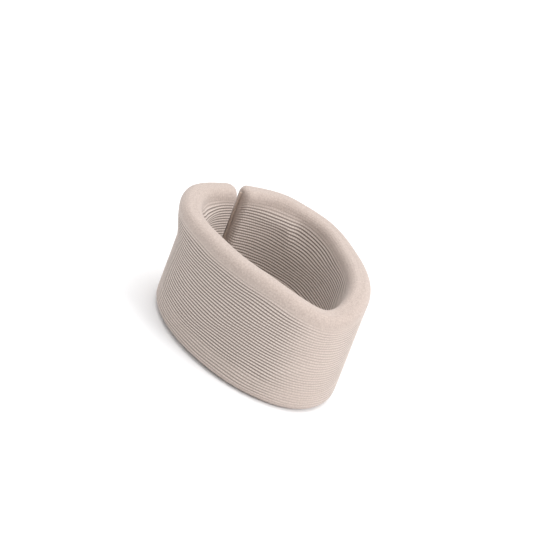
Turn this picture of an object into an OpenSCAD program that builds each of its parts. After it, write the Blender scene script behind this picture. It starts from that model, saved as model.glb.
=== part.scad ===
// Soft cervical collar: a contoured foam band in a ribbed knit cover, which closes at the
// back of the neck with a hook-and-loop strap.
// +Z runs up the neck, the chin recess faces -Y, and the wearer's left is +X.
// The foam and its cover are each one piece that bends. They are drawn as three lengths,
// which meet at the two flex lines on the wearer's right side.

/* [Collar] */
// Width across the sides, outside the cover
collar_width = 150; // [120:1:185]
// Depth from front to back at the bottom rim, outside the cover
collar_depth = 193; // [160:1:235]
// How much the front narrows, as a share of the width
front_taper = 0.09; // [0:0.01:0.2]
// Thickness of the covered band
band_thickness = 20; // [16:0.5:25]
// Radius of the band's long edges
edge_radius = 7.5; // [4:0.5:7.5]
// Radius of the two ends that meet at the back
end_radius = 5; // [3:0.5:6]
// Gap between those two ends
end_gap = 8; // [6:0.5:14]

/* [Heights] */
// Height at the middle of the chin recess
front_height = 86; // [70:1:105]
// Height at the sides, under the jaw
side_height = 95; // [79:1:116]
// Height at the back of the neck
back_height = 95; // [79:1:116]
// Angle from the front at which the recess reaches the side height
recess_angle = 61; // [50:1:90]
// How far the top edge leans in at the front
front_lean = 8.5; // [0:0.5:14]
// How far the top edge flares out at the back
back_flare = 7; // [0:0.5:14]

/* [Cover] */
// Thickness of the knit cover
cover_thickness = 1; // [0.8:0.1:2]
// Space between the foam and its cover
cover_clearance = 0.1; // [0.05:0.05:0.3]
// Thickness of the sewn seam that closes each end
seam_thickness = 3; // [2:0.5:5]
// How far that seam stands out of the end
seam_height = 1.4; // [1:0.2:2]

/* [Closure] */
// Height of the loop strip and of the strap
strap_height = 48; // [30:1:60]
// Height of the strap's middle line above the bottom rim
strap_middle = 48; // [35:1:60]
// Thickness of the strap's webbing
strap_thickness = 1.4; // [1:0.1:2.5]
// Length of the strap that is sewn to the right end
anchor_length = 24; // [16:1:40]
// Length over which the strap rises from the cover to the hook strip's height
rise_length = 8; // [5:1:14]
// Distance from the right end to where the strap swings free
strap_setback = 6; // [3:0.5:10]
// Length of the strap that swings free
flap_length = 66; // [50:1:80]
// Thickness of the loop strip
loop_thickness = 1.4; // [1:0.1:2.5]
// Length of the loop strip
loop_length = 48; // [35:1:60]
// Distance from the left end to the loop strip
loop_setback = 7; // [6:0.5:12]
// Thickness of the hook strip
hook_thickness = 1.2; // [0.8:0.1:2]
// Length of the hook strip
hook_length = 38; // [25:1:45]
// Bare margin round the hook strip at the strap's tip and long edges
hook_margin = 3; // [1:0.5:6]
// Space left between the hooks and the loops while the strap is closed
hook_clearance = 0.3; // [0.2:0.05:0.6]
// Space left between one sewn layer and the next
layer_gap = 0.15; // [0.15:0.05:0.3]

/* [Stitching] */
// Length of one stitch
stitch_length = 3; // [2:0.25:4]
// Distance from one stitch to the next
stitch_pitch = 4.2; // [3:0.1:6]
// Width of the thread
thread = 0.5; // [0.3:0.1:0.8]
// Distance from a stitch line to the edge it follows
stitch_inset = 2.5; // [1.5:0.5:4]

/* [Flex lines] */
// Angle from the front at which the right side bends
side_flex_angle = 62; // [55:1:75]
// Angle from the front at which the back of the right side bends
back_flex_angle = 118; // [100:1:130]
// Space between two lengths that meet at a flex line or at the strap's fold
flex_gap = 0.3; // [0.2:0.05:0.6]

/* [Hidden] */

knit_beige = "#cbbbb1";
seam_beige = "#b8a698";
foam_cream = "#efe6cf";
webbing_beige = "#c9b8a8";
thread_beige = "#d9cabd";
hook_ivory = "#e6ded3";
corner_steps = 2; // facets in each rounded corner of a section
end_steps = 2; // facets in each rounded end
table_step = 1; // degrees between the points that the outline is measured at
station_target = 8; // wanted distance between sections, along the outline
least_spacing = 0.2; // an end closer to a regular section than this takes its place

// ---- The outline seen from above, by angle from the front, positive to the wearer's right ----

function outline(angle) = [
    -collar_width / 2 * sin(angle) * (1 - front_taper * cos(angle)),
    -collar_depth / 2 * cos(angle)
];
function outline_slope(angle) = [
    -collar_width / 2 * (cos(angle) * (1 - front_taper * cos(angle)) + front_taper * pow(sin(angle), 2)),
    collar_depth / 2 * sin(angle)
];
function outward(angle) = let (slope = outline_slope(angle)) [-slope.y, slope.x] / norm(slope);

// Distance along the outline from the front, in rows of [distance, angle].
outline_table = [
    for (angle = 0, run = 0; angle <= 180;
         run = run + norm(outline(angle + table_step) - outline(angle)), angle = angle + table_step)
        [run, angle]
];
half_length = outline_table[len(outline_table) - 1][0];
full_length = 2 * half_length;
angle_table = [for (row = outline_table) [row[1], row[0]]];

function along(angle) = lookup(angle, angle_table);
function angle_at(place) =
    place > half_length ? 360 - lookup(full_length - place, outline_table)
    : place < 0 ? -lookup(-place, outline_table)
    : lookup(place, outline_table);

// ---- Heights and lean ----

function ease(share) = let (held = min(max(share, 0), 1)) held * held * (3 - 2 * held);
function from_front(angle) = angle > 180 ? 360 - angle : abs(angle);
function top_height(angle) = let (turn = from_front(angle))
    front_height
    + (side_height - front_height) * ease(turn / recess_angle)
    + (back_height - side_height) * ease((turn - 90) / 90);
function lean(angle, height) =
    -cos(angle) * (cos(angle) > 0 ? front_lean : back_flare) * height / side_height;

// How far the strap's inner face stands out from the cover where the strips meet.
strap_rise = 2 * layer_gap + loop_thickness + hook_clearance + hook_thickness;

back_reach = collar_depth / 2 + max(
    back_flare * (back_height - edge_radius) / side_height,
    strap_rise + strap_thickness + back_flare * (strap_middle + strap_height / 2) / side_height
);
centre_shift = (collar_depth / 2 - back_reach) / 2; // puts the box's middle over the origin

// A point on the band: its place along the outline, its distance out from it and its height.
function band_point(place, out, height) = let (
    angle = angle_at(place),
    flat = outline(angle) + outward(angle) * (out + lean(angle, height))
) [flat.x, flat.y + centre_shift, height];

// ---- Sections ----

function band_section(place, inset) = let (
    radius = max(edge_radius - inset, 1),
    outer = -inset - radius,
    inner = inset - band_thickness + radius,
    low = inset + radius,
    high = top_height(angle_at(place)) - inset - radius
) [
    for (corner = [[outer, low, -90], [outer, high, 0], [inner, high, 90], [inner, low, 180]])
        for (step = [0:corner_steps])
            let (turn = corner[2] + 90 * step / corner_steps)
                band_point(place, corner[0] + radius * cos(turn), corner[1] + radius * sin(turn))
];
function strip_section(place, inner, outer, low, high) = [
    band_point(place, outer, low),
    band_point(place, outer, high),
    band_point(place, inner, high),
    band_point(place, inner, low)
];

// Places between two ends: the regular stations, which every piece shares, and the ends themselves.
spacing = full_length / round(full_length / station_target);
function stations(from, to) = [
    from,
    for (index = [ceil((from + least_spacing) / spacing):floor((to - least_spacing) / spacing)])
        index * spacing,
    to
];

// Sections of the band from one end to the other. A rounded end draws in over its last few steps.
function band_sections(from, to, inset, round_from, round_to) = let (
    radius = end_radius - inset,
    start = round_from ? from + end_radius : from,
    finish = round_to ? to - end_radius : to
) [
    if (round_from)
        for (step = [end_steps:-1:1])
            let (turn = 90 * step / end_steps)
                band_section(start - radius * sin(turn), inset + radius * (1 - cos(turn))),
    for (place = stations(start, finish)) band_section(place, inset),
    if (round_to)
        for (step = [1:end_steps])
            let (turn = 90 * step / end_steps)
                band_section(finish + radius * sin(turn), inset + radius * (1 - cos(turn)))
];

// ---- Solids from sections ----

function end_face(first, count, forward) =
    [for (j = [0:count - 1]) first + (forward ? count - 1 - j : j)];
function wall_faces(first, rows, count, forward) = [
    for (i = [0:rows - 2])
        for (j = [0:count - 1])
            let (
                k = (j + 1) % count,
                a = first + i * count + j,
                b = first + i * count + k,
                c = first + (i + 1) * count + k,
                d = first + (i + 1) * count + j
            )
                each forward ? [[a, c, b], [a, d, c]] : [[a, b, c], [a, c, d]]
];
function rim_faces(outer, inner, count, forward) = [
    for (j = [0:count - 1])
        let (k = (j + 1) % count)
            each forward
                ? [[outer + j, inner + k, outer + k], [outer + j, inner + j, inner + k]]
                : [[outer + j, outer + k, inner + k], [outer + j, inner + k, inner + j]]
];

module solid_band(sections) {
    count = len(sections[0]);
    rows = len(sections);
    polyhedron(
        points = [for (section = sections) each section],
        faces = [
            end_face(0, count, false),
            end_face((rows - 1) * count, count, true),
            each wall_faces(0, rows, count, true)
        ]
    );
}

// A sleeve between an outer and an inner row of sections, closed or left open at each end.
module sleeve(outer, inner, closed_start, closed_finish) {
    count = len(outer[0]);
    outer_last = (len(outer) - 1) * count;
    inner_first = len(outer) * count;
    inner_last = inner_first + (len(inner) - 1) * count;
    polyhedron(
        points = [for (section = concat(outer, inner)) each section],
        faces = [
            each wall_faces(0, len(outer), count, true),
            each wall_faces(inner_first, len(inner), count, false),
            each closed_start
                ? [end_face(0, count, false), end_face(inner_first, count, true)]
                : rim_faces(0, inner_first, count, false),
            each closed_finish
                ? [end_face(outer_last, count, true), end_face(inner_last, count, false)]
                : rim_faces(outer_last, inner_last, count, true)
        ]
    );
}

// ---- Where each piece starts and finishes ----

left_end = end_gap / 2 - half_length; // the wearer's-left end, measured backwards from the front
right_end = half_length - end_gap / 2;
side_flex = along(side_flex_angle);
back_flex = along(back_flex_angle);
foam_inset = cover_thickness + cover_clearance;
strap_low = strap_middle - strap_height / 2;
strap_high = strap_middle + strap_height / 2;
flap_start = right_end - strap_setback;
flap_end = flap_start + flap_length;
rise_start = flap_start - flex_gap - rise_length;
anchor_start = rise_start - anchor_length;
loop_start = half_length + end_gap / 2 + loop_setback;
loop_end = loop_start + loop_length;
loop_top = layer_gap + loop_thickness;
stitch_rise = hook_clearance / 2; // stitches sink in, so they stay clear of the closed hooks
hook_end = flap_end - hook_margin;
hook_start = hook_end - hook_length;
hook_top = strap_rise - layer_gap;

module foam_length(from, to, round_from, round_to) {
    color(foam_cream)
        solid_band(band_sections(from, to, foam_inset, round_from, round_to));
}

module cover_length(from, to, round_from, round_to) {
    color(knit_beige)
        sleeve(
            band_sections(from, to, 0, round_from, round_to),
            band_sections(from, to, cover_thickness, round_from, round_to),
            round_from,
            round_to
        );
}

module foam_band_front() {
    foam_length(left_end, side_flex - flex_gap / 2, true, false);
}
module foam_band_right_side() {
    foam_length(side_flex + flex_gap / 2, back_flex - flex_gap / 2, false, false);
}
module foam_band_right_back() {
    foam_length(back_flex + flex_gap / 2, right_end, false, true);
}
module knit_cover_front() {
    cover_length(left_end, side_flex - flex_gap / 2, true, false);
}
module knit_cover_right_side() {
    cover_length(side_flex + flex_gap / 2, back_flex - flex_gap / 2, false, false);
}
module knit_cover_right_back() {
    cover_length(back_flex + flex_gap / 2, right_end, false, true);
}

// A strip that lies round the band, at a steady distance out from it.
module strip(from, to, inner, outer, low, high) {
    solid_band([for (place = stations(from, to)) strip_section(place, inner, outer, low, high)]);
}

// The sewn edge that closes an end of the cover. It stops short of the rounded corners.
module end_seam(from, to) {
    middle = -band_thickness / 2;
    color(seam_beige)
        strip(
            from,
            to,
            middle - seam_thickness / 2,
            middle + seam_thickness / 2,
            edge_radius + end_radius,
            back_height - edge_radius - end_radius
        );
}
module left_end_seam() {
    end_seam(left_end - seam_height, left_end);
}
module right_end_seam() {
    end_seam(right_end, right_end + seam_height);
}

module loop_strip() {
    color(webbing_beige)
        strip(loop_start, loop_end, layer_gap, loop_top, strap_low, strap_high);
}

// How far the strap's inner face stands out from the cover.
function strap_out(place) =
    layer_gap + (strap_rise - layer_gap) * ease((place - rise_start) / rise_length);

module strap_anchor() {
    rise_steps = 3;
    places = concat(
        stations(anchor_start, rise_start),
        [for (step = [1:rise_steps]) rise_start + rise_length * step / rise_steps]
    );
    color(webbing_beige)
        solid_band([
            for (place = places)
                strip_section(place, strap_out(place), strap_out(place) + strap_thickness, strap_low, strap_high)
        ]);
}

module strap_flap() {
    color(webbing_beige)
        strip(flap_start, flap_end, strap_rise, strap_rise + strap_thickness, strap_low, strap_high);
}

module hook_strip() {
    color(hook_ivory)
        strip(
            hook_start,
            hook_end,
            hook_top - hook_thickness,
            hook_top,
            strap_low + hook_margin,
            strap_high - hook_margin
        );
}

// One stitch lies on a surface at a distance out from the band, along it or up it.
module stitch(place, out, height, upright) {
    angle = angle_at(place);
    facing = outward(angle);
    slope = lean(angle, 1);
    base = band_point(place, out, height);
    size = [upright ? thread : stitch_length, stitch_rise, upright ? stitch_length : thread];
    multmatrix([
        [facing.y, facing.x, slope * facing.x, base.x],
        [-facing.x, facing.y, slope * facing.y, base.y],
        [0, 0, 1, base.z]
    ])
        translate([-size.x / 2, 0, -size.z / 2])
            cube(size);
}

// Stitches round the four sides of a strip, a little in from its edges.
module stitched_outline(from, to, out, low, high) {
    across = to - from - 2 * stitch_inset;
    up = high - low - 2 * stitch_inset;
    across_count = floor(across / stitch_pitch);
    up_count = floor(up / stitch_pitch);
    color(thread_beige) {
        for (height = [low + stitch_inset, high - stitch_inset])
            for (index = [1:across_count - 1])
                stitch(from + stitch_inset + across * index / across_count, out, height, false);
        for (place = [from + stitch_inset, to - stitch_inset])
            for (index = [1:up_count - 1])
                stitch(place, out, low + stitch_inset + up * index / up_count, true);
    }
}
module loop_strip_stitching() {
    stitched_outline(loop_start, loop_end, loop_top, strap_low, strap_high);
}
module strap_anchor_stitching() {
    stitched_outline(anchor_start, rise_start, layer_gap + strap_thickness, strap_low, strap_high);
}
module hook_strip_stitching() {
    stitched_outline(
        hook_start,
        hook_end,
        strap_rise + strap_thickness,
        strap_low + hook_margin,
        strap_high - hook_margin
    );
}

foam_band_front();
foam_band_right_side();
foam_band_right_back();
knit_cover_front();
knit_cover_right_side();
knit_cover_right_back();
left_end_seam();
right_end_seam();
loop_strip();
loop_strip_stitching();
strap_anchor();
strap_anchor_stitching();
strap_flap();
hook_strip();
hook_strip_stitching();
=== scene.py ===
# %% [markdown]
# # A soft cervical collar
#
# The object is a neck support: a thick band of soft foam with a dip for the chin, pulled into a
# tube of ribbed knit and closed behind the neck by a hook-and-loop strap. Nearly everything
# that the eye gets from it is the knit, so most of this lesson is about making cloth that is
# ribbed in its geometry, stitched in its finish, and soft in its outline.
#
# The design arrives as a imported frame: rigid lengths, joints and sizes. Every piece made here
# sits where the frame says; most ride on one of its bodies, and the rest have their place baked in.

# %% Load the frame
import math
import bmesh
import bpy
import numpy as np
from mathutils import Matrix, Vector
from mathutils.kdtree import KDTree


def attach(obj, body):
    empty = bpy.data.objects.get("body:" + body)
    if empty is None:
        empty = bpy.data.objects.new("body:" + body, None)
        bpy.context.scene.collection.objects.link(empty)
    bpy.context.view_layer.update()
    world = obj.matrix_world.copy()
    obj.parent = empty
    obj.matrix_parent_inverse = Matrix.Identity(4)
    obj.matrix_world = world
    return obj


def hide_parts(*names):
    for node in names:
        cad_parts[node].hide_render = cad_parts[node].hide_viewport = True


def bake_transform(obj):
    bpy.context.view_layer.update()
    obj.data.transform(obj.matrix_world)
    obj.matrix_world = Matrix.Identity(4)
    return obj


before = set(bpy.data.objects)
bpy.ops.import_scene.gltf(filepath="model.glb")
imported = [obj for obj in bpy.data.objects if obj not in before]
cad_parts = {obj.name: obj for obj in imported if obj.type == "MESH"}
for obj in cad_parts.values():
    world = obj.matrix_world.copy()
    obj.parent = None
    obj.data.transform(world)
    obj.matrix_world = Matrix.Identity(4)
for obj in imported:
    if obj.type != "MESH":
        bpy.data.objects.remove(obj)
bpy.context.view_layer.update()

MM = 0.001

# %% [markdown]
# ## The view
#
# The camera looks from the wearer's right and a little above, and it is tilted, so the band
# seems to lean to the right. A long lens keeps the perspective flat. The view is given as
# angles and distances in millimetres, which suit a collar of this size.

# %% The camera
VIEW_AZIMUTH = -40.1
VIEW_ELEVATION = 26.3
VIEW_ROLL = 24.6
VIEW_DISTANCE = 1363.6
VIEW_WIDTH = 454.5
SENSOR_WIDTH = 36.0
BAND_MIDDLE = Vector((0.0, -4.95, 45.5))
AIM_RIGHT = 6.5
AIM_UP = 18.3


def make_camera():
    azimuth, elevation, roll = (math.radians(a) for a in (VIEW_AZIMUTH, VIEW_ELEVATION, VIEW_ROLL))
    back = Vector((
        math.sin(azimuth) * math.cos(elevation),
        -math.cos(azimuth) * math.cos(elevation),
        math.sin(elevation),
    ))
    level = Vector((0, 0, 1)).cross(back).normalized()
    upright = back.cross(level)
    right = level * math.cos(roll) + upright * math.sin(roll)
    up = back.cross(right)
    place = BAND_MIDDLE + back * VIEW_DISTANCE
    aim = BAND_MIDDLE + right * AIM_RIGHT + up * AIM_UP
    back = (place - aim).normalized()
    right = up.cross(back).normalized()
    up = back.cross(right)
    camera = bpy.data.objects.new("camera", bpy.data.cameras.new("camera"))
    bpy.context.scene.collection.objects.link(camera)
    turned = Matrix((right, up, back)).transposed().to_4x4()
    camera.matrix_world = Matrix.Translation(place * MM) @ turned
    camera.data.sensor_width = SENSOR_WIDTH
    camera.data.lens = SENSOR_WIDTH * VIEW_DISTANCE / VIEW_WIDTH
    camera.data.clip_start = 0.05
    camera.data.clip_end = 20.0
    bpy.context.scene.camera = camera
    return camera


camera = make_camera()
print("camera lens in mm:", round(camera.data.lens, 1))

# %% [markdown]
# ## The light
#
# Cloth shows its ribs only when light crosses them. One large soft lamp stands in front of the
# collar and up to the wearer's left, so it brightens the front and leaves the wearer's right
# side in soft shade. A weaker lamp fills from the camera's side. A wide one overhead keeps the
# floor white and brings out the upper rim, and the pale surroundings do the rest.

# %% Lamps, surroundings and floor
def srgb(code):
    """An sRGB hex colour as the linear colour that shaders and lamps use."""
    parts = [int(code[i:i + 2], 16) / 255 for i in (1, 3, 5)]
    return tuple(p / 12.92 if p <= 0.04045 else ((p + 0.055) / 1.055) ** 2.4 for p in parts)


def soft_lamp(name, place, size, power, colour):
    lamp = bpy.data.lights.new(name, "AREA")
    lamp.shape = "DISK"
    lamp.size = size
    lamp.energy = power
    lamp.color = srgb(colour)
    piece = bpy.data.objects.new(name, lamp)
    bpy.context.scene.collection.objects.link(piece)
    piece.location = place
    aim = BAND_MIDDLE * MM - Vector(place)
    piece.rotation_mode = "QUATERNION"
    piece.rotation_quaternion = aim.to_track_quat("-Z", "Y")
    return piece


def make_surroundings():
    world = bpy.data.worlds.new("pale_studio")
    bpy.context.scene.world = world
    world.use_nodes = True
    sky = world.node_tree.nodes["Background"]
    sky.inputs["Color"].default_value = (*srgb("#f4f5f7"), 1)
    sky.inputs["Strength"].default_value = 0.80


def make_floor():
    sheet = bmesh.new()
    bmesh.ops.create_grid(sheet, x_segments=1, y_segments=1, size=14.0)
    mesh = bpy.data.meshes.new("floor")
    sheet.to_mesh(mesh)
    sheet.free()
    floor = bpy.data.objects.new("floor", mesh)
    bpy.context.scene.collection.objects.link(floor)
    paper = bpy.data.materials.new("matt_white_paper")
    paper.use_nodes = True
    shader = paper.node_tree.nodes["Principled BSDF"]
    shader.inputs["Base Color"].default_value = (*srgb("#f6f6f6"), 1)
    shader.inputs["Roughness"].default_value = 0.9
    mesh.materials.append(paper)
    return floor


make_surroundings()
make_floor()
soft_lamp("front_lamp", (0.50, -1.10, 0.80), 0.8, 10.0, "#fdfdff")
soft_lamp("fill_lamp", (-0.9, -0.5, 0.9), 0.9, 1.0, "#f6f8ff")
soft_lamp("overhead_lamp", (0.4, 0.5, 2.2), 3.0, 46.0, "#ffffff")
bpy.context.scene.view_settings.view_transform = "Standard"

# %% [markdown]
# ## The shape of the band
#
# Seen from above, the band is an egg: half a width times the sine of an angle, half a depth
# times its cosine, and a little narrower at the front. Every piece here follows that one
# outline, by a place measured along it in millimetres from the front, so foam, cover and
# straps agree to a hair. NumPy works on all places at once, which is far quicker than a loop.

# %% The outline, its length and the point at a place
COLLAR_WIDTH = 150.0
COLLAR_DEPTH = 193.0
FRONT_TAPER = 0.09
BAND_THICKNESS = 20.0
EDGE_RADIUS = 7.5
END_GAP = 8.0
FRONT_HEIGHT = 86.0
SIDE_HEIGHT = 95.0
BACK_HEIGHT = 95.0
RECESS_ANGLE = 61.0
FRONT_LEAN = 8.5
BACK_FLARE = 7.0
SIDE_FLEX_ANGLE = 62.0
BACK_FLEX_ANGLE = 118.0
CENTRE_SHIFT = -4.95


def outline(angle):
    """The band's outer line at the bottom rim, in mm, by angle towards the wearer's right."""
    x = -COLLAR_WIDTH / 2 * np.sin(angle) * (1 - FRONT_TAPER * np.cos(angle))
    return x, -COLLAR_DEPTH / 2 * np.cos(angle)


def outward(angle):
    """The level direction that faces out of the band."""
    dx = -COLLAR_WIDTH / 2 * (
        np.cos(angle) * (1 - FRONT_TAPER * np.cos(angle)) + FRONT_TAPER * np.sin(angle) ** 2)
    dy = COLLAR_DEPTH / 2 * np.sin(angle)
    size = np.hypot(dx, dy)
    return -dy / size, dx / size


measured_angles = np.linspace(0, np.pi, 721)
measured_x, measured_y = outline(measured_angles)
measured_lengths = np.concatenate(
    [[0], np.cumsum(np.hypot(np.diff(measured_x), np.diff(measured_y)))])
HALF_LENGTH = float(measured_lengths[-1])
LEFT_END = END_GAP / 2 - HALF_LENGTH
RIGHT_END = HALF_LENGTH - END_GAP / 2


def angle_at(place):
    """The angle at a place along the outline, which may run past the back on either side."""
    turn = np.interp(np.abs(place), measured_lengths, measured_angles)
    past = np.interp(2 * HALF_LENGTH - np.abs(place), measured_lengths, measured_angles)
    return np.sign(place) * np.where(np.abs(place) > HALF_LENGTH, 2 * np.pi - past, turn)


def along(degrees):
    """The place at an angle from the front."""
    return float(np.interp(math.radians(degrees), measured_angles, measured_lengths))


def ease(share):
    held = np.clip(share, 0, 1)
    return held * held * (3 - 2 * held)


def top_height(angle):
    turn = np.degrees(np.arccos(np.cos(angle)))
    to_side = (SIDE_HEIGHT - FRONT_HEIGHT) * ease(turn / RECESS_ANGLE)
    to_back = (BACK_HEIGHT - SIDE_HEIGHT) * ease((turn - 90) / 90)
    return FRONT_HEIGHT + to_side + to_back


def band_point(place, out, height):
    """Points in metres, by place along the band, distance out of it, and height."""
    angle = angle_at(place)
    x, y = outline(angle)
    nx, ny = outward(angle)
    leaning = (
        -np.cos(angle) * np.where(np.cos(angle) > 0, FRONT_LEAN, BACK_FLARE) * height / SIDE_HEIGHT)
    reach = out + leaning
    return np.stack(
        np.broadcast_arrays(x + nx * reach, y + ny * reach + CENTRE_SHIFT, height), -1) * MM


SIDE_FLEX = along(SIDE_FLEX_ANGLE)
BACK_FLEX = along(BACK_FLEX_ANGLE)
print("outline length in mm:", round(2 * HALF_LENGTH, 1))
print("flex lines at:", round(SIDE_FLEX, 1), round(BACK_FLEX, 1))

# %% [markdown]
# ## A section through the band
#
# Cut across, the band is a tall rectangle with rounded corners. Ribs run along the band, so
# each keeps its own share of the way round that section. The helper below turns a share into
# a point on the section and the direction that faces out of it there. It starts in the middle
# of the bottom edge and goes out, up, in and down again.

# %% The rounded section
def section_point(share, half_thickness, low, high, radius):
    """Out and up from the section's middle line, with the direction out of the surface."""
    share, half, low, high, radius = np.broadcast_arrays(share, half_thickness, low, high, radius)
    radius = np.minimum(radius, np.minimum(half, (high - low) / 2))
    corner = np.pi / 2 * radius
    flat = half - radius
    wall = high - low - 2 * radius
    stops = np.cumsum([flat, corner, wall, corner, 2 * flat, corner, wall, corner, flat], axis=0)
    run = share * stops[-1]
    starts = np.concatenate([np.zeros_like(stops[:1]), stops[:-1]])
    safe = np.maximum(radius, 1e-9)
    turn = [None] * 9
    for index, base in ((1, -np.pi / 2), (3, 0.0), (5, np.pi / 2), (7, np.pi)):
        turn[index] = base + (run - starts[index]) / safe
    tests = [run <= stop for stop in stops[:-1]]
    out = np.select(tests, [
        run,
        flat + radius * np.cos(turn[1]),
        half,
        flat + radius * np.cos(turn[3]),
        flat - (run - starts[4]),
        -flat + radius * np.cos(turn[5]),
        -half,
        -flat + radius * np.cos(turn[7]),
    ], -flat + (run - starts[8]))
    up = np.select(tests, [
        low,
        low + radius + radius * np.sin(turn[1]),
        low + radius + (run - starts[2]),
        high - radius + radius * np.sin(turn[3]),
        high,
        high - radius + radius * np.sin(turn[5]),
        high - radius - (run - starts[6]),
        low + radius + radius * np.sin(turn[7]),
    ], low)
    zero = np.zeros_like(run)
    face_out = np.select(tests, [
        zero, np.cos(turn[1]), zero + 1, np.cos(turn[3]),
        zero, np.cos(turn[5]), zero - 1, np.cos(turn[7]),
    ], zero)
    face_up = np.select(tests, [
        zero - 1, np.sin(turn[1]), zero, np.sin(turn[3]),
        zero + 1, np.sin(turn[5]), zero, np.sin(turn[7]),
    ], zero - 1)
    return out, up, face_out, face_up


print("a quarter of the way round:",
      [round(float(v), 1) for v in section_point(0.25, 10, 0, 95, 7.5)])

# %% [markdown]
# ## Turning a grid into cloth
#
# Blender's grid operator makes a flat sheet of quads with tidy rows. Moving its points onto
# the band's surface wraps the sheet round the section, and merging the doubles closes the
# tube along its length. The same helper serves the cover, its inside, the foam and the
# straps, because each is a sheet with a place along the band and a share of the way round.

# %% Grids that wrap round the band
def wrapped_sheet(points, uv, ribbing=None, crisp_rows=()):
    """A bmesh whose quads follow a table of points, rows along the band and columns round it."""
    rows, columns = points.shape[:2]
    sheet = bmesh.new()
    layer = sheet.loops.layers.uv.new("along_and_round")
    strength = sheet.verts.layers.float.new("ribbing")
    bmesh.ops.create_grid(sheet, x_segments=rows - 1, y_segments=columns - 1, size=1.0)
    where = {}
    for vertex in sheet.verts:
        row = round((vertex.co.x + 1) / 2 * (rows - 1))
        column = round((vertex.co.y + 1) / 2 * (columns - 1))
        where[vertex] = (row, column)
    for face in sheet.faces:
        for loop in face.loops:
            loop[layer].uv = uv[where[loop.vert]]
    for vertex, spot in where.items():
        vertex.co = points[spot]
        vertex[strength] = 0 if ribbing is None else ribbing[spot]
    for edge in sheet.edges:
        rows_met = {where[vertex][0] for vertex in edge.verts}
        edge.smooth = len(rows_met) > 1 or rows_met.pop() not in crisp_rows
    return sheet


def open_loops(sheet):
    """The sheet's open edges, as lists of edges, one for each hole."""
    left = {edge for edge in sheet.edges if edge.is_boundary}
    loops = []
    while left:
        found, edge = [], left.pop()
        queue = [edge]
        while queue:
            edge = queue.pop()
            found.append(edge)
            for vertex in edge.verts:
                for other in vertex.link_edges:
                    if other in left:
                        left.remove(other)
                        queue.append(other)
        loops.append(found)
    return loops


def as_piece(sheet, name, smooth=True):
    mesh = bpy.data.meshes.new(name)
    sheet.to_mesh(mesh)
    sheet.free()
    if smooth:
        mesh.shade_smooth()
    piece = bpy.data.objects.new(name, mesh)
    bpy.context.scene.collection.objects.link(piece)
    return piece


WELD = 2e-6
print("grid helper ready, welding at", WELD / MM, "mm")

# %% [markdown]
# ## The knitted cover
#
# The cover is one tube of ribbed stockinette. It could be a smooth tube with ribs painted on,
# but light has to catch each rib, so the ribs are in the mesh: eighty-eight of them go round
# the section, six points to a rib. They fade out near the top and bottom edges, where the
# cloth is stretched over the foam's corners. Very slow waves take the ruled look off.

# %% How far the cloth stands off the foam
RIB_COUNT = 88
RIB_STEPS = 6
RIB_PROUD = 0.10
RIB_DEPTH = 0.68
COVER_THICKNESS = 1.0
COVER_CLEARANCE = 0.1
HEM_HEIGHT = 19.0
SMOOTH_TOP = 11.0
END_ROUND = 7.0
END_LIFT = 4.0
STRAP_LOW = 24.0
STRAP_HIGH = 72.0


def end_fullness(place, inset=0.0):
    """How much of its full thickness the band has: none at the sewn ends, all past the rounding."""
    inward = np.minimum(place - LEFT_END, RIGHT_END - place) - inset
    share = np.clip(1 - inward / END_ROUND, 0, 1)
    return (1 - share ** 2.4) ** (1 / 2.4)


def settled(place):
    """Nought where the straps are sewn and one elsewhere, so cloth lies flat under them."""
    return ease((np.minimum(place - LEFT_END, RIGHT_END - place) - 40) / 20)


SWELL_ROWS, SWELL_COLUMNS = 109, 73
simulated_swell = np.zeros((SWELL_ROWS, SWELL_COLUMNS))


def looked_up(table, place, share):
    """A table's value at each place and share, blended from the four entries around it."""
    row = np.clip((place - LEFT_END) / (RIGHT_END - LEFT_END), 0, 1) * (SWELL_ROWS - 1.001)
    column = np.clip(share, 0, 1) * (SWELL_COLUMNS - 1.001)
    r, c = row.astype(int), column.astype(int)
    u, v = row - r, column - c
    near = table[r, c] * (1 - v) + table[r, c + 1] * v
    far = table[r + 1, c] * (1 - v) + table[r + 1, c + 1] * v
    return near * (1 - u) + far * u


def softness(place, share):
    """The slow swell of cloth over foam, in millimetres, which foam and cover both follow."""
    round_way = 2 * np.pi * share
    swell = 0.16 * np.sin(place / 27 + 1.6 * np.sin(round_way + 0.6))
    swell = swell + 0.10 * np.sin(place / 12.5 + 2 * round_way + 1.1) * np.sin(place / 41 + 0.3)
    return (swell + looked_up(simulated_swell, place, share)) * settled(place)


def wander(place, share):
    """How far a rib strays from its own line, in ribs."""
    drift = (0.16 * np.sin(place / 19 + 8 * np.pi * share)
             + 0.10 * np.sin(place / 7.3 + 14 * np.pi * share))
    return drift * ease(np.minimum(place - LEFT_END, RIGHT_END - place) / 30 - 0.3)


def top_flare(place, up):
    """The top rim behind the ears stands out a little more than the rest."""
    turn = np.degrees(np.abs(angle_at(place)))
    from_end = np.minimum(place - LEFT_END, RIGHT_END - place)
    start = 56 + 18 * (1 - ease((from_end - 56) / 14))
    return (7.0 * ease((turn - 90) / 34) * ease((174 - turn) / 30)
            * ease((up - start) / (90 - start)))


def rib_strength(place, up):
    """One on the ribbed walls, less below the hem and at the front, little at the rims."""
    angle = angle_at(place)
    above = ease((up - 2) / 5) * (0.8 + 0.2 * ease((up - HEM_HEIGHT + 1.5) / 3))
    below = ease((top_height(angle) - SMOOTH_TOP + 5 - up) / 9)
    front = 0.5 + 0.5 * ease((np.degrees(np.abs(angle)) - 8) / 30)
    return 0.14 + 0.86 * above * below * front


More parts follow.
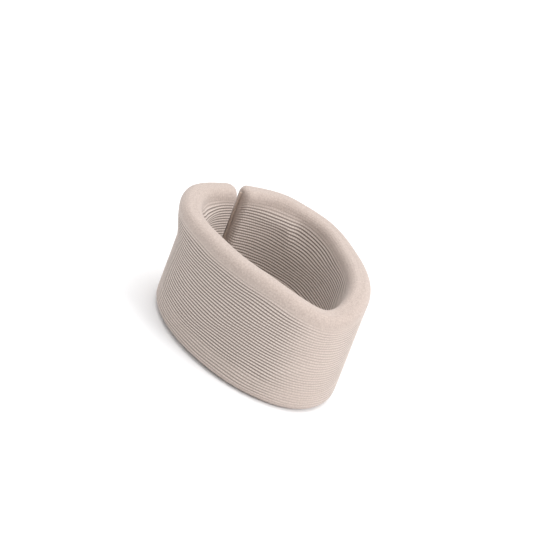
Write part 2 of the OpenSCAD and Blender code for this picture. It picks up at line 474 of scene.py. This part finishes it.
def band_surface(places, shares, inset, ribbed):
    """Points, rib strengths and shares for rows of places by columns of shares."""
    place, share = np.meshgrid(places, shares, indexing="ij")
    moved = share + (wander(place, share) / RIB_COUNT if ribbed else 0)
    fullness = end_fullness(place, inset)
    half = (BAND_THICKNESS / 2 - inset) * fullness
    low = END_LIFT * (1 - fullness) + inset
    high = top_height(angle_at(place)) - END_LIFT * (1 - fullness) - inset
    out, up, face_out, face_up = section_point(moved, half, low, high, EDGE_RADIUS - inset)
    strength = rib_strength(place, up) * ease(fullness)
    lift = softness(place, share) * fullness
    if ribbed:
        phase = (share * RIB_COUNT) % 1
        ridge = 1 - np.abs(2 * phase - 1) ** 2.0
        lift = lift + (RIB_PROUD - RIB_DEPTH * (1 - ridge) * strength) * ease(fullness * 1.4)
        # the last groove above the hem is a little deeper, as the cloth turns there
        lift = lift - 0.3 * np.exp(-((up - HEM_HEIGHT) / 1.1) ** 2) * (out > 0) * ease(fullness)
    out = out + face_out * lift
    up = np.maximum(up + face_up * lift, 0)
    points = band_point(place, out - BAND_THICKNESS / 2 + top_flare(place, up), up)
    return points, strength


def stations(start, end, step, inset=0.0):
    """Places along the band, closer together where an end is drawn shut."""
    start, end = max(start, LEFT_END + inset), min(end, RIGHT_END - inset)
    count = max(2, round((end - start) / step))
    places = list(np.linspace(start, end, count + 1))
    for edge, inward in ((LEFT_END + inset, 1), (RIGHT_END - inset, -1)):
        if start - 0.01 <= edge <= end + 0.01:
            places = [p for p in places if abs(p - edge) > END_ROUND + step / 2]
            places += [
                edge + inward * END_ROUND * (1 - math.cos(math.pi / 2 * i / 10))
                for i in range(11)]
    return sorted(places)


print("rib pitch in mm:", round(
    (2 * SIDE_HEIGHT + 2 * BAND_THICKNESS - 8 * EDGE_RADIUS + 2 * math.pi * EDGE_RADIUS)
    / RIB_COUNT, 2))

# %% [markdown]
# ## Three lengths of one tube
#
# The real cover is a single tube, but the band opens at two flex lines. A mesh can bend only
# across one of them, so the tube is made in three lengths that meet edge to edge where the
# band doesn't bend. Each length is a sleeve: out along the cloth's face and back along its
# inside, so the cloth has a real thickness.

# %% Sew the cover
COVER_STEP = 2.7
FRONT_SPLIT = SIDE_FLEX - 18
SIDE_SPLIT = (SIDE_FLEX + BACK_FLEX) / 2


def sleeve(name, start, end, step, inset, round_count, ribbed, thickness=None):
    """One length of tube. With a thickness it turns back along its own inside."""
    rows = stations(start, end, step, inset)
    sewn_shut = end > RIGHT_END - 1
    if sewn_shut:
        rows = rows[::-1]
    shares = np.linspace(0, 1, round_count + 1)
    points, strength = band_surface(np.array(rows), shares, inset, ribbed)
    crisp = set()
    if thickness:
        back_rows = stations(start, end, 3 * step, inset + thickness)
        if not sewn_shut:
            back_rows = back_rows[::-1]
        inner, inner_strength = band_surface(np.array(back_rows), shares, inset + thickness, False)
        points = np.concatenate([points, inner])
        strength = np.concatenate([strength, inner_strength])
        crisp = {len(rows) - 1, len(rows)}
        rows = rows + back_rows
        if start > LEFT_END + 1 and not sewn_shut:
            points = np.concatenate([points, points[:1]])
            strength = np.concatenate([strength, strength[:1]])
            rows = rows + rows[:1]
            crisp |= {0, len(rows) - 1, len(rows) - 2}
    uv = np.stack(np.meshgrid(rows, shares * RIB_COUNT, indexing="ij"), -1)
    sheet = wrapped_sheet(points, uv, strength, crisp)
    bmesh.ops.remove_doubles(sheet, verts=sheet.verts, dist=WELD)
    if not thickness:
        for loop in open_loops(sheet):
            bmesh.ops.contextual_create(sheet, geom=loop)
    bmesh.ops.dissolve_degenerate(sheet, edges=sheet.edges, dist=WELD / 2)
    bmesh.ops.recalc_face_normals(sheet, faces=sheet.faces)
    holes = sum(edge.is_boundary for edge in sheet.edges)
    piece = as_piece(sheet, name)
    print(name, "faces:", len(piece.data.polygons), "open edges:", holes)
    return piece


LENGTHS = (
    ("front", LEFT_END, FRONT_SPLIT, None),
    ("right_side", FRONT_SPLIT, SIDE_SPLIT, ("band_front", "right_side", SIDE_FLEX)),
    ("right_back", SIDE_SPLIT, RIGHT_END, ("right_side", "right_back", BACK_FLEX)),
)


def lay_on_frame(piece, bend):
    """The front length rides on the front body; any other length has its place baked into its
    points.
    """
    if bend is None:
        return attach(piece, "band_front")
    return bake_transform(piece)


# %% [markdown]
# ## Letting the foam push
#
# Foam presses the cover outwards and the knit holds it back, so the walls are not quite flat.
# A coarse copy of the whole band is inflated for twenty frames by the cloth simulation. How
# far each part of it moved out is kept in a small table, by place and share, and the foam and
# the cover both read it. Only the shape is kept, so nothing is left to simulate later.

# %% Simulate the swell on a coarse copy
SIM_VOXEL = 0.005
SIM_PRESSURE = 4.0
SIM_FRAMES = 20
SIM_CAP = 1.2
SIM_GIVE = 4.5
SIM_INSET = 1.0


def coarse_swell():
    """How far the cloth moves out at each place and share, in millimetres, capped both ways."""
    trial = sleeve("cloth_trial", LEFT_END + 3, RIGHT_END - 3, 5.0, SIM_INSET, 72, False)
    remesh = trial.modifiers.new("even_mesh", "REMESH")
    remesh.mode = "VOXEL"
    remesh.voxel_size = SIM_VOXEL
    graph = bpy.context.evaluated_depsgraph_get()
    even = bpy.data.meshes.new_from_object(trial.evaluated_get(graph))
    trial.modifiers.clear()
    trial.data = even
    rest = np.array([v.co for v in even.vertices])
    cloth = trial.modifiers.new("cloth", "CLOTH")
    cloth.settings.use_pressure = True
    cloth.settings.uniform_pressure_force = SIM_PRESSURE
    cloth.settings.effector_weights.gravity = 0
    for frame_number in range(1, SIM_FRAMES + 1):
        bpy.context.scene.frame_set(frame_number)
    graph = bpy.context.evaluated_depsgraph_get()
    moved = np.array([v.co for v in trial.evaluated_get(graph).data.vertices])
    bpy.context.scene.frame_set(1)
    bpy.data.objects.remove(trial)
    tree = KDTree(len(rest))
    for index, point in enumerate(rest):
        tree.insert(point, index)
    tree.balance()
    places = np.linspace(LEFT_END, RIGHT_END, SWELL_ROWS)
    shares = np.linspace(0, 1, SWELL_COLUMNS)
    place, share = np.meshgrid(places, shares, indexing="ij")
    points, _ = band_surface(places, shares, SIM_INSET, False)
    half = BAND_THICKNESS / 2 - SIM_INSET
    top = top_height(angle_at(place)) - SIM_INSET
    _, _, face_out, face_up = section_point(share, half, SIM_INSET, top, EDGE_RADIUS - SIM_INSET)
    nx, ny = outward(angle_at(place))
    facing = np.stack([nx * face_out, ny * face_out, face_up], -1)
    shift = (moved - rest) / MM
    carried = np.zeros_like(points)
    for spot in np.ndindex(place.shape):
        found = tree.find_n(points[spot], 6)
        weights = np.array([1 / (distance + 0.001) for _, _, distance in found])
        carried[spot] = weights @ shift[[index for _, index, _ in found]] / weights.sum()
    carried -= carried.mean(axis=1, keepdims=True)
    swell = (carried * facing).sum(-1)
    for _ in range(4):
        swell[:, 1:-1] = (swell[:, :-2] + 2 * swell[:, 1:-1] + swell[:, 2:]) / 4
        swell[1:-1] = (swell[:-2] + 2 * swell[1:-1] + swell[2:]) / 4
    print("simulated points:", len(rest), "raw swell in mm:",
          np.percentile(swell, (1, 25, 50, 75, 99)).round(2))
    return SIM_CAP * np.tanh((swell - np.median(swell)) / SIM_GIVE)


simulated_swell = coarse_swell()
print("kept swell in mm:",
      simulated_swell.min().round(2), "to", simulated_swell.max().round(2))

# %% Make the cover
covers = []
for part, start, end, bend in LENGTHS:
    cover = sleeve(
        "knit_sleeve_" + part, start, end, COVER_STEP, 0.0,
        RIB_COUNT * RIB_STEPS, True, COVER_THICKNESS,
    )
    lay_on_frame(cover, bend)
    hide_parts("knit_cover_" + part)
    covers.append(cover)

# %% [markdown]
# ## The foam inside
#
# The foam never shows, but it is what makes the band soft and keeps its shape, so it is made
# as well: the same section a little smaller, following the same slow swell as the cover.

# %% Fill the cover with foam
FOAM_INSET = COVER_THICKNESS + COVER_CLEARANCE + 0.15
FOAM_END = 2.6
FOAM_STEP = 5.0
FOAM_ROUND_COUNT = 96

foams = []
for part, start, end, bend in LENGTHS:
    foam_start = start + (FOAM_END if start == LEFT_END else 0)
    foam_end = end - (FOAM_END if end == RIGHT_END else 0)
    foam = sleeve(
        "foam_core_" + part, foam_start, foam_end, FOAM_STEP, FOAM_INSET, FOAM_ROUND_COUNT, False)
    lay_on_frame(foam, bend)
    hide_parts("foam_band_" + part)
    foams.append(foam)

# %% [markdown]
# ## Thread
#
# Stitches and overlocking are thread, and thread is a thin tube. A small helper sweeps a ring
# of points along a path, so a stitch is a short bulging tube sunk in the tape, and an overlocked
# edge is one long thread wound round the edge of the cloth.

# %% Threads as thin tubes
def tube_points(path, radii, sides):
    """Rings of points round a path, each square to it, sized by the given radii."""
    path = np.asarray(path, float)
    ahead = np.gradient(path, axis=0)
    ahead /= np.linalg.norm(ahead, axis=1)[:, None]
    aside = np.cross(ahead, (0.31, 0.17, 0.94))
    aside /= np.linalg.norm(aside, axis=1)[:, None]
    above = np.cross(ahead, aside)
    turn = np.linspace(0, 2 * np.pi, sides + 1)[None, :, None]
    ring = aside[:, None] * np.cos(turn) + above[:, None] * np.sin(turn)
    return path[:, None] + ring * np.asarray(radii, float)[:, None, None]


def tubes(name, paths, radii, sides):
    """One mesh of many closed tubes. Every path has the same number of points."""
    count = len(radii)
    sheet = bmesh.new()
    bmesh.ops.create_grid(sheet, x_segments=count - 1, y_segments=sides, size=1.0)
    spots = [
        (round((v.co.x + 1) / 2 * (count - 1)), round((v.co.y + 1) / 2 * sides) % sides)
        for v in sheet.verts
    ]
    for vertex, (row, column) in zip(sheet.verts, spots):
        turn = 2 * math.pi * column / sides
        vertex.co = (math.cos(turn), math.sin(turn), row)
    bmesh.ops.remove_doubles(sheet, verts=sheet.verts, dist=0.01)
    for loop in open_loops(sheet):
        bmesh.ops.contextual_create(sheet, geom=loop)
    bmesh.ops.recalc_face_normals(sheet, faces=sheet.faces)
    spots = [
        (round(v.co.z), round(math.atan2(v.co.y, v.co.x) / (2 * math.pi) * sides) % sides)
        for v in sheet.verts]
    one = bpy.data.meshes.new(name + "_one")
    sheet.to_mesh(one)
    sheet.free()
    many = bmesh.new()
    for _ in paths:
        many.from_mesh(one)
    piece = as_piece(many, name)
    rows, columns = (np.array(axis) for axis in zip(*spots))
    places = np.concatenate([tube_points(path, radii, sides)[rows, columns] for path in paths])
    piece.data.vertices.foreach_set("co", places.astype(np.float32).ravel())
    piece.data.update()
    bpy.data.meshes.remove(one)
    return piece


STITCH_LENGTH = 3.0
STITCH_PITCH = 4.2
STITCH_INSET = 2.5
THREAD_RADIUS = 0.27 * MM


def stitch_line(start, end, low, high, out):
    """Paths of the stitches round an inset rectangle on the band, each a row of five points."""
    left, right = start + STITCH_INSET, end - STITCH_INSET
    bottom, top = low + STITCH_INSET, high - STITCH_INSET
    sides = (
        ((left, bottom), (right, bottom)), ((right, bottom), (right, top)),
        ((right, top), (left, top)), ((left, top), (left, bottom)),
    )
    dips = (-0.30, 0.0, 0.05, 0.0, -0.30)
    paths = []
    for (p0, h0), (p1, h1) in sides:
        length = math.hypot(p1 - p0, h1 - h0)
        count = max(1, int(length // STITCH_PITCH))
        for index in range(count):
            middle = (index + 0.5) / count
            reach = STITCH_LENGTH / 2 / length
            shares = [middle + reach * k for k in (-1, -0.55, 0, 0.55, 1)]
            paths.append([
                band_point(np.array(p0 + (p1 - p0) * s), out + dip, np.array(h0 + (h1 - h0) * s))
                for s, dip in zip(shares, dips)
            ])
    return paths


def stitching(name, body, *where):
    radii = [THREAD_RADIUS * k for k in (0.5, 0.95, 1.0, 0.95, 0.5)]
    piece = tubes(name + "_thread", stitch_line(*where), radii, 6)
    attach(piece, body)
    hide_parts(name)
    print(name, "faces:", len(piece.data.polygons))
    return piece


# %% [markdown]
# ## The overlocked ends
#
# Each end of the tube is closed by an overlock: the two layers lie together and thread loops
# round their edge. The flange is a narrow strip of knit, and the thread winds round it with a
# small stray from turn to turn, as a machine leaves it.

# %% Overlock both ends
SEAM_HEIGHT = 1.4
OVERLOCK_PITCH = 1.3
OVERLOCK_TURN_POINTS = 12


def overlock(name, body, end, outward_sign):
    low = END_LIFT + 0.8
    high = float(top_height(angle_at(np.array(end)))) - END_LIFT - 0.8
    middle = end + outward_sign * SEAM_HEIGHT * 0.30
    turns = int((high - low) / OVERLOCK_PITCH)
    steps = np.arange(turns * OVERLOCK_TURN_POINTS + 1)
    phase = steps * 2 * np.pi / OVERLOCK_TURN_POINTS
    heights = (low + (high - low) * steps / steps[-1]
               + 0.25 * np.sin(phase * 0.37) + 0.35 * np.sin(phase))
    places = middle + SEAM_HEIGHT * 0.62 * np.cos(phase)
    outs = -BAND_THICKNESS / 2 + (1.15 + 0.1 * np.sin(phase * 0.23)) * np.sin(phase)
    flange_shares = np.linspace(0, 1, 13)
    flange_rows = np.linspace(low, high, 60)
    height, share = np.meshgrid(flange_rows, flange_shares, indexing="ij")
    flange = band_point(
        middle + SEAM_HEIGHT * 0.5 * np.cos(2 * np.pi * share),
        -BAND_THICKNESS / 2 + 0.75 * np.sin(2 * np.pi * share),
        height,
    )
    edge = wrapped_sheet(flange, np.stack([height, share], -1))
    bmesh.ops.remove_doubles(edge, verts=edge.verts, dist=WELD)
    for loop in open_loops(edge):
        bmesh.ops.contextual_create(edge, geom=loop)
    bmesh.ops.recalc_face_normals(edge, faces=edge.faces)
    inner = as_piece(edge, name + "_flange")
    piece = tubes(
        name + "_thread", [band_point(places, outs, heights)], [0.34 * MM] * len(steps), 6)
    for part in (piece, inner):
        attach(part, body)
        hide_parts(name)
    print(name, "turns of thread:", turns)
    return [piece, inner]


overlocks = overlock("left_end_seam", "band_front", LEFT_END, -1)
overlocks += overlock("right_end_seam", "right_back", RIGHT_END, 1)

# %% [markdown]
# ## The closure strap
#
# The strap is one length of woven tape. It is sewn flat to the wearer's right end, steps up
# over the gap and lies on the other end. On the real collar only the free part swings; here the
# mesh is one piece with its place baked in. The tip is rounded, and both selvedges are
# woven a little thicker than the middle.

# %% Weave the strap
LAYER_GAP = 0.15
STRAP_THICKNESS = 1.4
STRAP_RISE = 3.2
ANCHOR_START = RIGHT_END - 6 - 32.3
FOLD = HALF_LENGTH - 10.0
RISE_LENGTH = 8.0
RISE_START = FOLD - RISE_LENGTH - 0.3
FLAP_END = FOLD + 66.0
TIP_ROUND = 9.0
FOLD_REACH = 4.0
WEFT_PITCH = 1.5


def strap_out(place):
    return LAYER_GAP + (STRAP_RISE - LAYER_GAP) * ease((place - RISE_START) / RISE_LENGTH)


def tape(name, start, end, low, high, inner_out, thickness, tip, step, round_count=72):
    """A woven tape on the band: flat and rounded, with a square end and a tip that may be round."""
    rows = list(np.linspace(start, end - tip, round((end - tip - start) / step) + 1))
    if tip:
        rows += [end - tip * (1 - math.sin(math.pi / 2 * i / 14)) for i in range(1, 15)]
    rows = np.array(rows)
    shares = np.linspace(0, 1, round_count + 1)
    place, share = np.meshgrid(rows, shares, indexing="ij")
    past = np.clip((place - (end - tip)) / max(tip, 0.001), 0, 0.9995)
    cut = tip * (1 - np.sqrt(1 - past * past))
    out, up, face_out, face_up = section_point(
        share, thickness / 2, low + cut, high - cut, thickness / 2,
    )
    edge = np.minimum(up - low - cut, high - cut - up)
    weave = 0.07 * np.sin(2 * np.pi * place / WEFT_PITCH) * np.where(edge > 3.2, 1.0, 0.25)
    selvedge = 0.10 * ease((3.2 - edge) / 0.8) * (1 - ease((0.7 - edge) / 0.7))
    out = out + face_out * (weave + selvedge)
    centre = (inner_out(place) if callable(inner_out) else inner_out) + thickness / 2
    points = band_point(place, out + centre, up + face_up * 0.3 * weave)
    uv = np.stack([place, up], -1)
    sheet = wrapped_sheet(points, uv)
    bmesh.ops.remove_doubles(sheet, verts=sheet.verts, dist=WELD)
    for loop in open_loops(sheet):
        bmesh.ops.contextual_create(sheet, geom=loop)
    bmesh.ops.recalc_face_normals(sheet, faces=sheet.faces)
    piece = as_piece(sheet, name)
    print(name, "length in mm:", round(end - start, 1), "faces:", len(piece.data.polygons))
    return piece


def fold_line():
    low = band_point(np.array(FOLD - FOLD_REACH), STRAP_RISE, np.array(0.0))
    high = band_point(np.array(FOLD + FOLD_REACH), STRAP_RISE, np.array(0.0))
    return low, high


strap = tape(
    "closure_strap_tape", ANCHOR_START, FLAP_END, STRAP_LOW, STRAP_HIGH,
    strap_out, STRAP_THICKNESS, TIP_ROUND, WEFT_PITCH / 6,
)
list(fold_line())
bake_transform(strap)
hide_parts("strap_anchor", "strap_flap")
stitches = [stitching(
    "strap_anchor_stitching", "right_back",
    ANCHOR_START, RISE_START, STRAP_LOW, STRAP_HIGH, LAYER_GAP + STRAP_THICKNESS,
)]

# %% [markdown]
# ## Loop pile and hooks
#
# The closure holds because small hooks catch in a pile of loops. Real hooks are a third of a
# millimetre across, too many and too fine to be worth drawing, so they are drawn a few
# times coarser. Each tape has a base with its own hooks or loops standing on it.

# %% The loop strip on the wearer's left end
LOOP_START = LEFT_END + 7.0
LOOP_END = LOOP_START + 48.0
LOOP_THICKNESS = 1.4
BASE_THICKNESS = 0.7
PILE_PITCH = 1.25
HOOK_PITCH = 1.5
HOOK_MARGIN = 3.0
HOOK_THICKNESS = 1.2


def scattered(rows, columns, seed):
    """Two tables of small steady strays, the same every time."""
    noise = np.random.default_rng(seed)
    return noise.uniform(-1, 1, (rows, columns)), noise.uniform(-1, 1, (rows, columns))


def pile(name, start, end, low, high, foot, height, pitch, radius, arch, seed):
    """Rows of little arches or hooks on a base, from foot up by height (it may be negative)."""
    rows, columns = int((end - start) / pitch), int((high - low) / pitch)
    stray, turn = scattered(rows, columns, seed)
    row, column = np.meshgrid(np.arange(rows), np.arange(columns), indexing="ij")
    place = start + (row + 0.5) * pitch + 0.18 * pitch * stray
    up = low + (column + 0.5) * pitch + 0.18 * pitch * turn
    lean = 0.5 * np.pi * turn if seed % 2 else 0 * turn
    across, upward = np.cos(lean) * pitch * 0.36, np.sin(lean) * pitch * 0.36
    points = np.stack([
        band_point(place + across * a, foot + height * h, up + upward * a) for a, h in arch
    ], axis=2)
    paths = points.reshape(rows * columns, len(arch), 3)
    piece = tubes(name, paths, [radius] * len(arch), 3)
    print(name, "rows:", rows, "columns:", columns, "faces:", len(piece.data.polygons))
    return piece


LOOP_ARCH = ((-1, 0), (-1.1, 0.6), (0, 1), (1.1, 0.6), (1, 0))
HOOK_ARCH = ((-0.5, 0), (-0.4, 0.75), (0.2, 1), (0.75, 0.72))
loop_base = tape(
    "loop_strip_base", LOOP_START, LOOP_END, STRAP_LOW, STRAP_HIGH,
    LAYER_GAP, BASE_THICKNESS, 0, 1.0, 48,
)
loop_pile = pile(
    "loop_strip_pile", LOOP_START + 1, LOOP_END - 1, STRAP_LOW + 1, STRAP_HIGH - 1,
    LAYER_GAP + BASE_THICKNESS - 0.1, LOOP_THICKNESS - BASE_THICKNESS - 0.05,
    PILE_PITCH, 0.11 * MM, LOOP_ARCH, 7,
)
for part in (loop_base, loop_pile):
    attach(part, "band_front")
    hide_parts("loop_strip")
stitches.append(stitching(
    "loop_strip_stitching", "band_front",
    LOOP_START, LOOP_END, STRAP_LOW, STRAP_HIGH, LAYER_GAP + LOOP_THICKNESS - 0.2,
))

# %% The hook strip inside the strap
HOOK_END = FLAP_END - 3.0
HOOK_START = HOOK_END - 38.0
HOOK_TOP = STRAP_RISE - LAYER_GAP
hook_base = tape(
    "hook_strip_base", HOOK_START, HOOK_END, STRAP_LOW + HOOK_MARGIN, STRAP_HIGH - HOOK_MARGIN,
    HOOK_TOP - 0.5, 0.5, 0, 1.0, 48,
)
hooks = pile(
    "hook_strip_hooks", HOOK_START + 1, HOOK_END - 1,
    STRAP_LOW + HOOK_MARGIN + 1, STRAP_HIGH - HOOK_MARGIN - 1,
    HOOK_TOP - 0.45, -(HOOK_THICKNESS - 0.5), HOOK_PITCH, 0.13 * MM, HOOK_ARCH, 4,
)
for part in (hook_base, hooks):
    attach(part, "closure_strap")
    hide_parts("hook_strip")
stitches.append(stitching(
    "hook_strip_stitching", "closure_strap",
    HOOK_START, HOOK_END, STRAP_LOW + HOOK_MARGIN, STRAP_HIGH - HOOK_MARGIN,
    STRAP_RISE + STRAP_THICKNESS,
))

# %% [markdown]
# ## Materials
#
# Each finish is named for what it is made of and how. The patterns follow the cloth, so they
# read the map that was laid along the band: millimetres one way and rib numbers the other.
# Colour does half of the work of a rib: the ridge catches the light and the groove keeps
# its own shadow, which soft studio light would otherwise wash out.

# %% Small helpers for shaders
def new_material(name):
    material = bpy.data.materials.new(name)
    material.use_nodes = True
    return material, material.node_tree, material.node_tree.nodes["Principled BSDF"]


def add(tree, kind, *inputs, **settings):
    """A node with its settings made and its inputs linked or filled, in order."""
    node = tree.nodes.new(kind)
    for key, value in settings.items():
        setattr(node, key, value)
    for index, value in enumerate(inputs):
        if value is None:
            continue
        if isinstance(value, bpy.types.NodeSocket):
            tree.links.new(value, node.inputs[index])
        else:
            node.inputs[index].default_value = value
    return node


def sum_of(tree, operation, *inputs):
    return add(tree, "ShaderNodeMath", *inputs, operation=operation).outputs[0]


def mixed(tree, share, one, other):
    """A colour between two others, each a socket or a hex colour."""
    node = tree.nodes.new("ShaderNodeMix")
    node.data_type = "RGBA"
    for socket, value in ((node.inputs[0], share), (node.inputs[6], one), (node.inputs[7], other)):
        if isinstance(value, bpy.types.NodeSocket):
            tree.links.new(value, socket)
        elif isinstance(value, str):
            socket.default_value = (*srgb(value), 1)
        else:
            socket.default_value = value
    return node.outputs[2]


def noise(tree, vector, scale, detail=2.0):
    return add(tree, "ShaderNodeTexNoise", vector, None, scale, detail).outputs["Fac"]


def bumped(tree, shader, height, distance, strength=1.0, under=None):
    node = tree.nodes.new("ShaderNodeBump")
    node.inputs["Strength"].default_value = strength
    node.inputs["Distance"].default_value = distance
    tree.links.new(height, node.inputs["Height"])
    if under is not None:
        tree.links.new(under, node.inputs["Normal"])
    tree.links.new(node.outputs[0], shader.inputs["Normal"])
    return node.outputs[0]


def cloth_map(tree):
    """The two ways of the map on the cloth: along the band and round it."""
    map_node = add(tree, "ShaderNodeUVMap", uv_map="along_and_round")
    parts = add(tree, "ShaderNodeSeparateXYZ", map_node.outputs[0])
    return parts.outputs[0], parts.outputs[1]


def place_on(tree):
    return add(tree, "ShaderNodeTexCoord").outputs["Object"]


# %% Ribbed cotton stockinette
# It gives the eye matt beige cloth: rib crests with a painted highlight, grooves with painted shade
# and rows of small stitches.
# the groove colour is painted shade: the yarn in the grooves is the same, only in shadow
KNIT_GROOVE_PAINTED_SHADE = "#4b3f36"
STITCH_STEP = 2.6  # real stitches are about half as long, too fine to see at this size


def make_knit():
    material, tree, shader = new_material("ribbed_cotton_stockinette_circular_knit")
    run, rib = cloth_map(tree)
    ribbing = add(tree, "ShaderNodeAttribute", attribute_name="ribbing").outputs["Fac"]
    phase = sum_of(tree, "FRACT", rib)
    from_crest = sum_of(
        tree, "ABSOLUTE", sum_of(tree, "SUBTRACT", sum_of(tree, "MULTIPLY", phase, 2.0), 1.0))
    # painted shade: the colour darkens towards the bottom of each groove, as far as the rib is
    # strong
    groove_painted_shade = sum_of(tree, "MULTIPLY", sum_of(tree, "POWER", from_crest, 1.5), ribbing)
    where = place_on(tree)
    # knitted loops: slanted strokes along each rib, a little uneven from one to the next
    uneven = sum_of(tree, "MULTIPLY", noise(tree, where, 420.0), 2.4)
    start = add(
        tree, "ShaderNodeTexWhiteNoise", None, sum_of(tree, "FLOOR", rib),
        noise_dimensions="1D").outputs["Value"]
    slant = sum_of(
        tree, "ADD", sum_of(tree, "MULTIPLY", from_crest, 0.42),
        sum_of(tree, "MULTIPLY", run, 1 / STITCH_STEP))
    slant = sum_of(tree, "ADD", slant, start)
    turn = sum_of(
        tree, "MULTIPLY",
        sum_of(tree, "ADD", slant, sum_of(tree, "MULTIPLY", uneven, 0.30)), 2 * math.pi)
    stitch = sum_of(tree, "ADD", sum_of(tree, "MULTIPLY", sum_of(tree, "SINE", turn), 0.5), 0.5)
    # the finer face of the cloth where it isn't ribbed
    fine_turn = sum_of(tree, "MULTIPLY", rib, 4 * math.pi)
    fine = sum_of(
        tree, "ADD", sum_of(tree, "MULTIPLY", sum_of(tree, "SINE", fine_turn), 0.25), 0.5)
    mottle = noise(tree, where, 780.0, 2.0)
    slow = noise(tree, where, 30.0, 2.0)
    base = mixed(
        tree, sum_of(tree, "MULTIPLY", sum_of(tree, "SUBTRACT", mottle, 0.25), 2.0),
        "#a3938a", "#c1b2a8")
    # the crest colours are the cloth's own tone and stitch marks, made paler as a painted highlight
    crest_with_painted_highlight = mixed(tree, stitch, "#cdbeb4", "#ddcfc6")
    # the ribs' colour: painted highlight on the crests and painted shade in the grooves
    ribs_with_painted_light = mixed(tree, groove_painted_shade, crest_with_painted_highlight, KNIT_GROOVE_PAINTED_SHADE)
    cloth = mixed(tree, ribbing, base, ribs_with_painted_light)
    shade = mixed(tree, sum_of(tree, "MULTIPLY", slow, 0.12), cloth, "#8f7f75")
    tree.links.new(shade, shader.inputs["Base Color"])
    shader.inputs["Roughness"].default_value = 0.92
    shader.inputs["Sheen Weight"].default_value = 0.25
    shader.inputs["Sheen Roughness"].default_value = 0.5
    shader.inputs["Specular IOR Level"].default_value = 0.2
    loops = sum_of(
        tree, "ADD", sum_of(tree, "MULTIPLY", stitch, 0.38), sum_of(tree, "MULTIPLY", fine, 0.3))
    knit_bump = bumped(tree, shader, loops, 0.00022)
    fuzz = noise(tree, where, 1500.0, 3.0)
    bumped(tree, shader, fuzz, 0.00012, 0.8, knit_bump)
    return material


# %% Foam, thread, tape, pile and hooks
def make_foam():
    """It gives the eye cream open-cell foam: small dark cells in a pale, matt skin."""
    material, tree, shader = new_material("open_cell_polyurethane_foam_cut")
    cells = add(tree, "ShaderNodeTexVoronoi", place_on(tree), None, 700.0)
    tree.links.new(
        mixed(tree, cells.outputs["Distance"], "#d8cda9", "#f3ebd3"), shader.inputs["Base Color"])
    shader.inputs["Roughness"].default_value = 0.95
    bumped(tree, shader, cells.outputs["Distance"], 0.0004)
    return material


def make_thread(name, dark, light, twist):
    """It gives the eye spun thread: a soft sheen broken by a fine twist."""
    material, tree, shader = new_material(name)
    fibres = noise(tree, place_on(tree), twist, 3.0)
    tree.links.new(mixed(tree, fibres, dark, light), shader.inputs["Base Color"])
    shader.inputs["Roughness"].default_value = 0.7
    shader.inputs["Sheen Weight"].default_value = 0.2
    bumped(tree, shader, fibres, 0.0001)
    return material


def make_webbing():
    """It gives the eye woven tape: crossed yarns, drawn coarser than life, with a slight gloss."""
    material, tree, shader = new_material("woven_polyester_webbing")
    run, up = cloth_map(tree)
    warp = sum_of(tree, "SINE", sum_of(tree, "MULTIPLY", up, 2 * math.pi / 1.4))
    weft = sum_of(tree, "SINE", sum_of(tree, "MULTIPLY", run, 2 * math.pi / WEFT_PITCH))
    crossing = sum_of(
        tree, "ADD", sum_of(tree, "MULTIPLY", sum_of(tree, "MULTIPLY", warp, weft), 0.5), 0.5)
    tree.links.new(mixed(tree, crossing, "#b09d8e", "#d3c2b5"), shader.inputs["Base Color"])
    shader.inputs["Roughness"].default_value = 0.75
    shader.inputs["Sheen Weight"].default_value = 0.15
    weave = bumped(tree, shader, crossing, 0.0002)
    bumped(tree, shader, noise(tree, place_on(tree), 2400.0), 0.00006, 0.7, weave)
    return material


def make_pile():
    """It gives the eye brushed nylon loops: pale, soft and slightly glossy."""
    material, tree, shader = new_material("brushed_nylon_loop_pile")
    fibres = noise(tree, place_on(tree), 900.0, 3.0)
    tree.links.new(mixed(tree, fibres, "#bba999", "#ddcec2"), shader.inputs["Base Color"])
    shader.inputs["Roughness"].default_value = 0.8
    shader.inputs["Sheen Weight"].default_value = 0.3
    bumped(tree, shader, fibres, 0.0001)
    return material


def make_hook():
    """It gives the eye stiff moulded nylon: ivory and a little translucent."""
    material, tree, shader = new_material("moulded_nylon_hook_tape")
    grain = noise(tree, place_on(tree), 1200.0, 2.0)
    tree.links.new(mixed(tree, grain, "#d9cfc1", "#ece5da"), shader.inputs["Base Color"])
    shader.inputs["Roughness"].default_value = 0.45
    shader.inputs["IOR"].default_value = 1.53
    bumped(tree, shader, grain, 0.00005)
    return material


knit = make_knit()
finishes = (
    (covers, knit),
    (foams, make_foam()),
    (overlocks, make_thread("spun_polyester_overlock_thread", "#b9a596", "#dccabd", 1800.0)),
    (stitches, make_thread("twisted_polyester_sewing_thread", "#c8b7a9", "#e4d6ca", 2200.0)),
    ([strap], make_webbing()),
    ([loop_base, loop_pile], make_pile()),
    ([hook_base, hooks], make_hook()),
)
for pieces, material in finishes:
    for piece in pieces:
        piece.data.materials.clear()
        piece.data.materials.append(material)
print("materials:", sorted(material.name for _, material in finishes))
